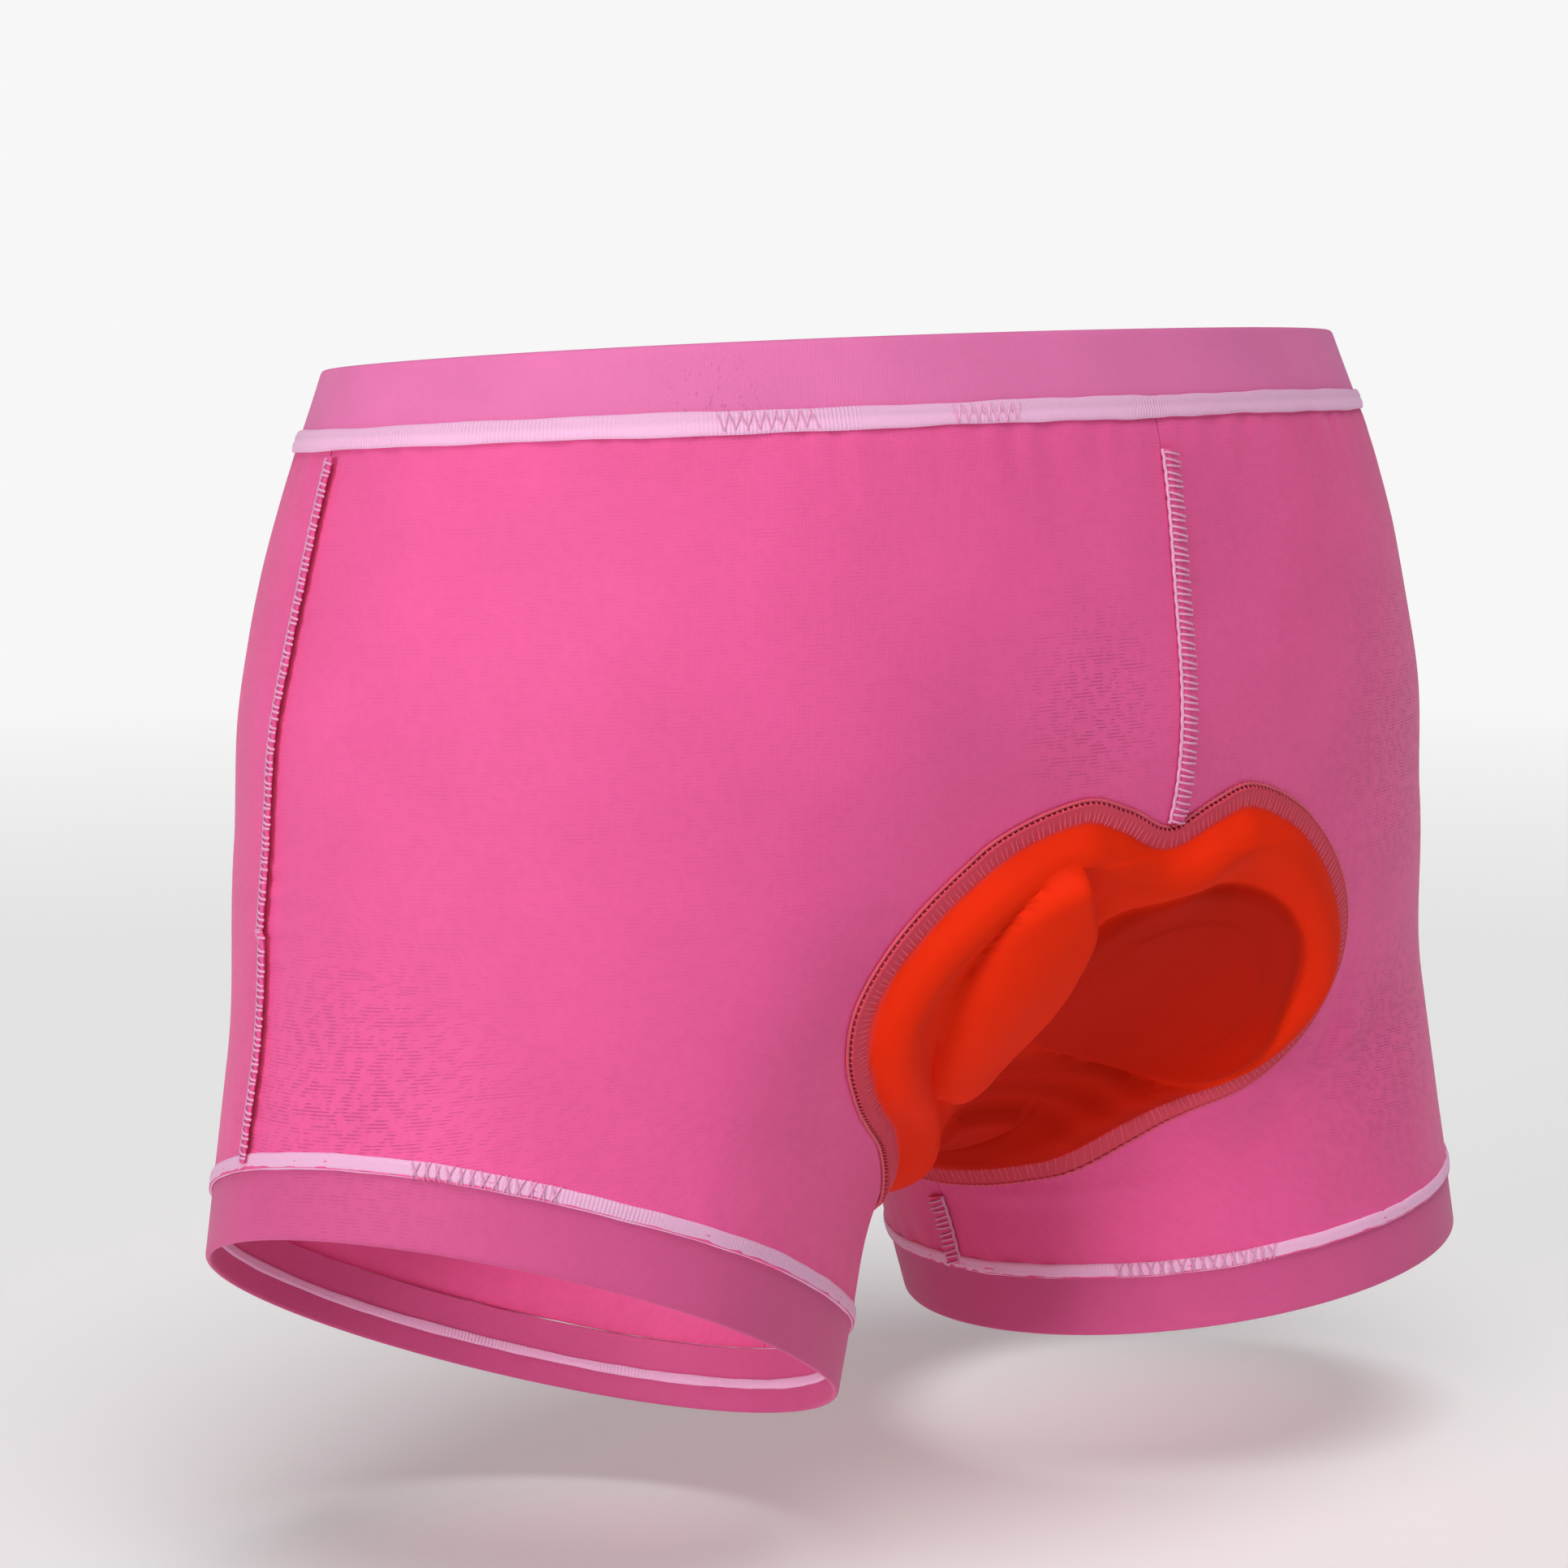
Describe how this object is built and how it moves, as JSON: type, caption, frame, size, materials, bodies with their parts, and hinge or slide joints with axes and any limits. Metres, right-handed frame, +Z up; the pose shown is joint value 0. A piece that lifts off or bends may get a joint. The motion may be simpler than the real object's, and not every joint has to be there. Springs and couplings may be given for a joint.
{
  "type": "padded cycling shorts turned inside out",
  "caption": "Short-legged stretch-knit cycling undershorts turned inside out, with waistband, leg bands and a sewn-in moulded seat pad, in the hollow form they have when worn.",
  "frame": {"origin": "middle of the waist, level with the waistband's top edge at the sides", "axes": "+Z up, the wearer faces -Y, +X toward the wearer's left"},
  "size_m": [0.4222, 0.2471, 0.3185],
  "materials": {
    "knit_waist": "soft satin stretch knit",
    "knit_pink": "fine horizontal stretch knit with a soft sheen",
    "knit_band": "folded pin-mesh knit",
    "pad_orange": "moulded foam under a matt knitted cover"
  },
  "bodies": {
    "root": {"waistband": "knit_waist", "back_left": "knit_pink", "back_right": "knit_pink", "front_left": "knit_pink", "front_right": "knit_pink", "leg_band_left": "knit_band", "leg_band_right": "knit_band", "pad": "pad_orange"}
  },
  "joints": []
}
